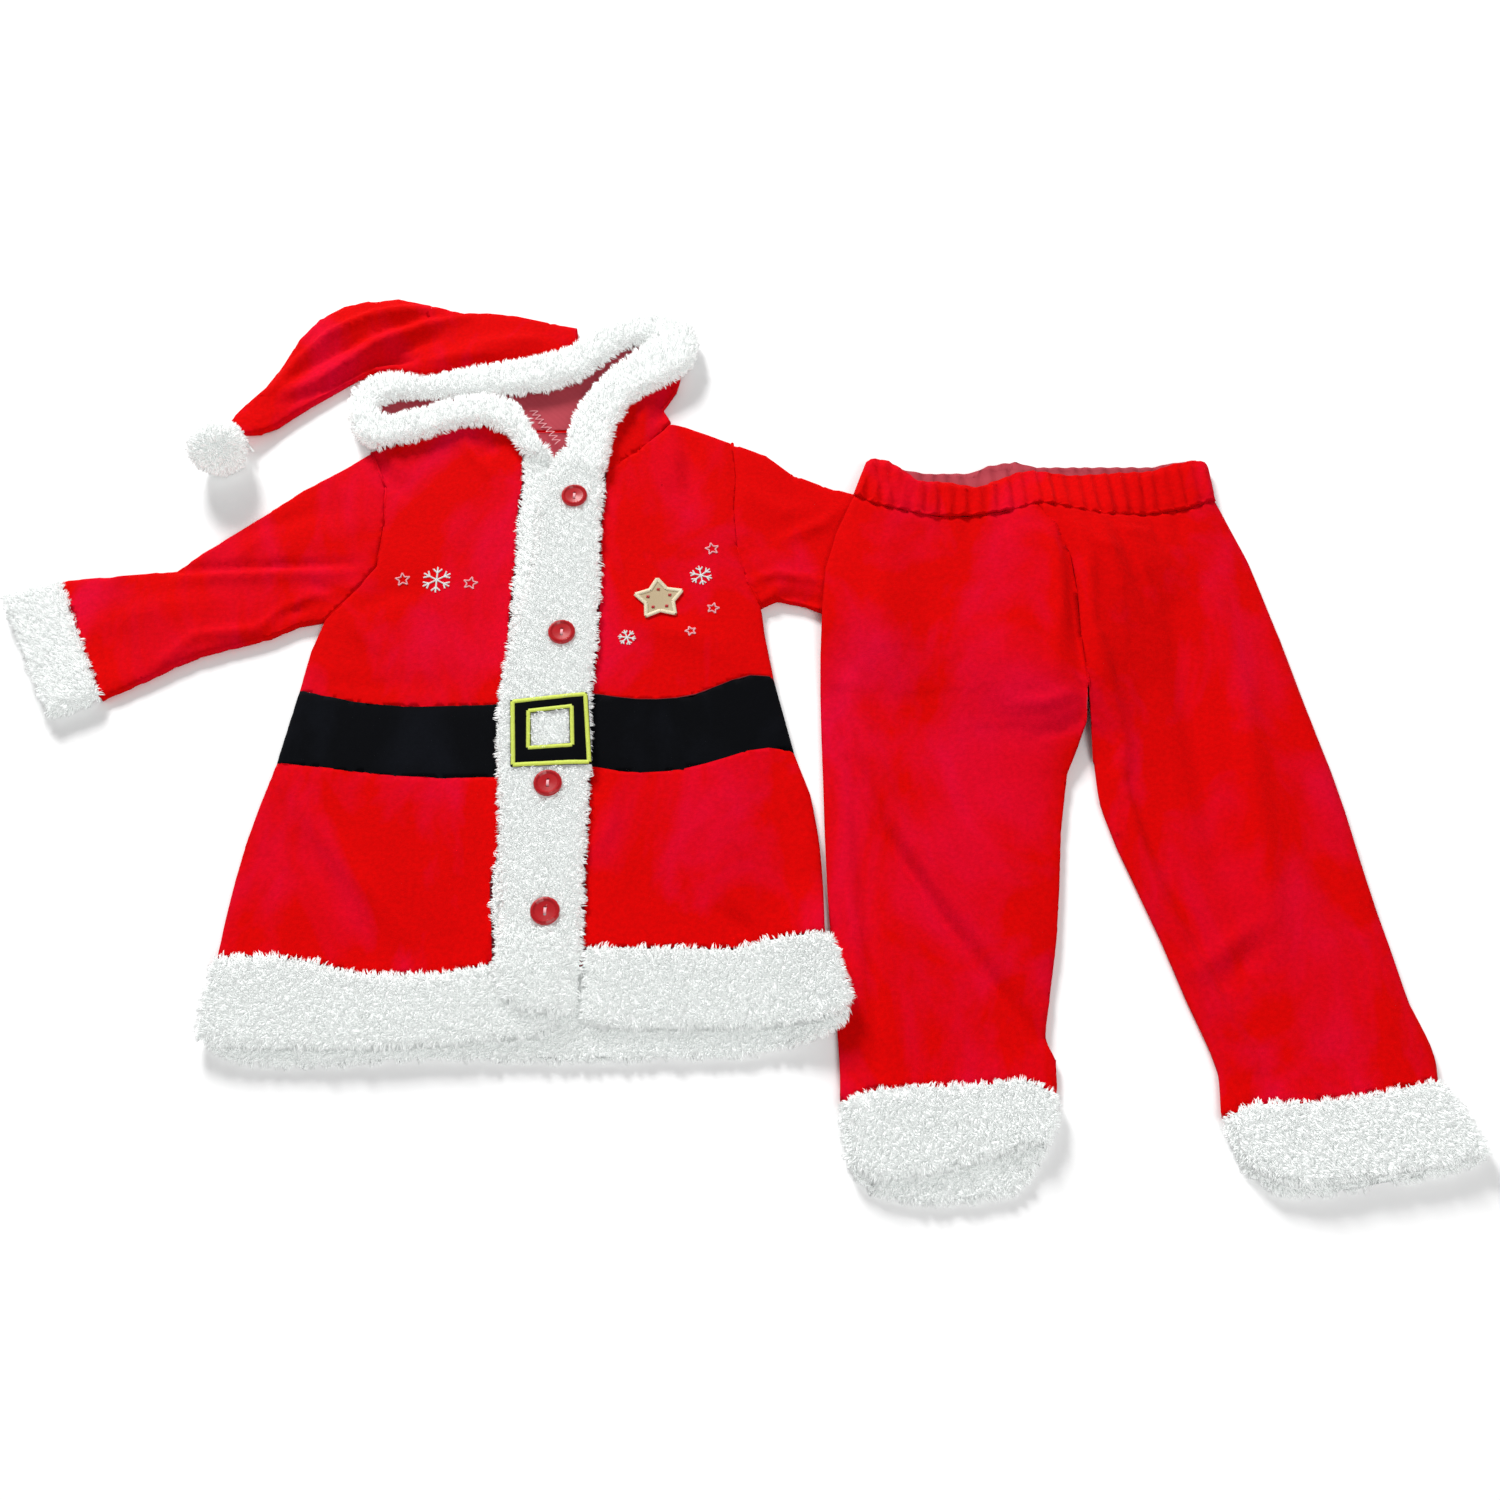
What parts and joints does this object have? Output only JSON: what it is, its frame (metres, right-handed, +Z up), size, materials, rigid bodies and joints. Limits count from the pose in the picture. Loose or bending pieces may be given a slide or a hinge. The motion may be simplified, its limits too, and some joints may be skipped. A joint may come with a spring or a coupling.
{
  "type": "santa suit, hooded jacket and trousers laid flat",
  "caption": "Baby's Santa suit laid flat: hooded velour jacket with sherpa trim, belt band and long tail with pompom, one sleeve under its velour trousers.",
  "frame": {"origin": "middle of the layout's outline, on the floor", "axes": "+X across both garments towards the trousers, +Y towards the hood, +Z up from the floor"},
  "size_m": [0.7606, 0.5546, 0.0349],
  "materials": {
    "red_velour": "matte",
    "black_velour": "matte",
    "white_sherpa": "matte",
    "red_plastic": "gloss"
  },
  "bodies": {
    "root": {"belt_back": "black_velour", "belt_front_left": "black_velour", "belt_front_right": "black_velour", "bodice_back": "red_velour", "bodice_front_left": "red_velour", "bodice_front_right": "red_velour", "buckle": "black_velour", "button_1": "red_plastic", "button_2": "red_plastic", "button_3": "red_plastic", "button_4": "red_plastic", "hem_back": "white_sherpa", "hem_front_left": "white_sherpa", "hem_front_right": "white_sherpa", "hood_back": "red_velour", "hood_side_left": "red_velour", "hood_side_right": "red_velour", "hood_tail": "red_velour", "hood_trim": "white_sherpa", "leg_cuff_left": "white_sherpa", "leg_cuff_right": "white_sherpa", "placket_top": "white_sherpa", "placket_under": "white_sherpa", "pompom": "white_sherpa", "skirt_back": "red_velour", "skirt_front_left": "red_velour", "skirt_front_right": "red_velour", "sleeve_cuff_left": "white_sherpa", "sleeve_cuff_right": "white_sherpa", "sleeve_left": "red_velour", "sleeve_right": "red_velour", "trouser_back_left": "red_velour", "trouser_back_right": "red_velour", "trouser_front_left": "red_velour", "trouser_front_right": "red_velour", "waistband": "red_velour"}
  },
  "joints": []
}
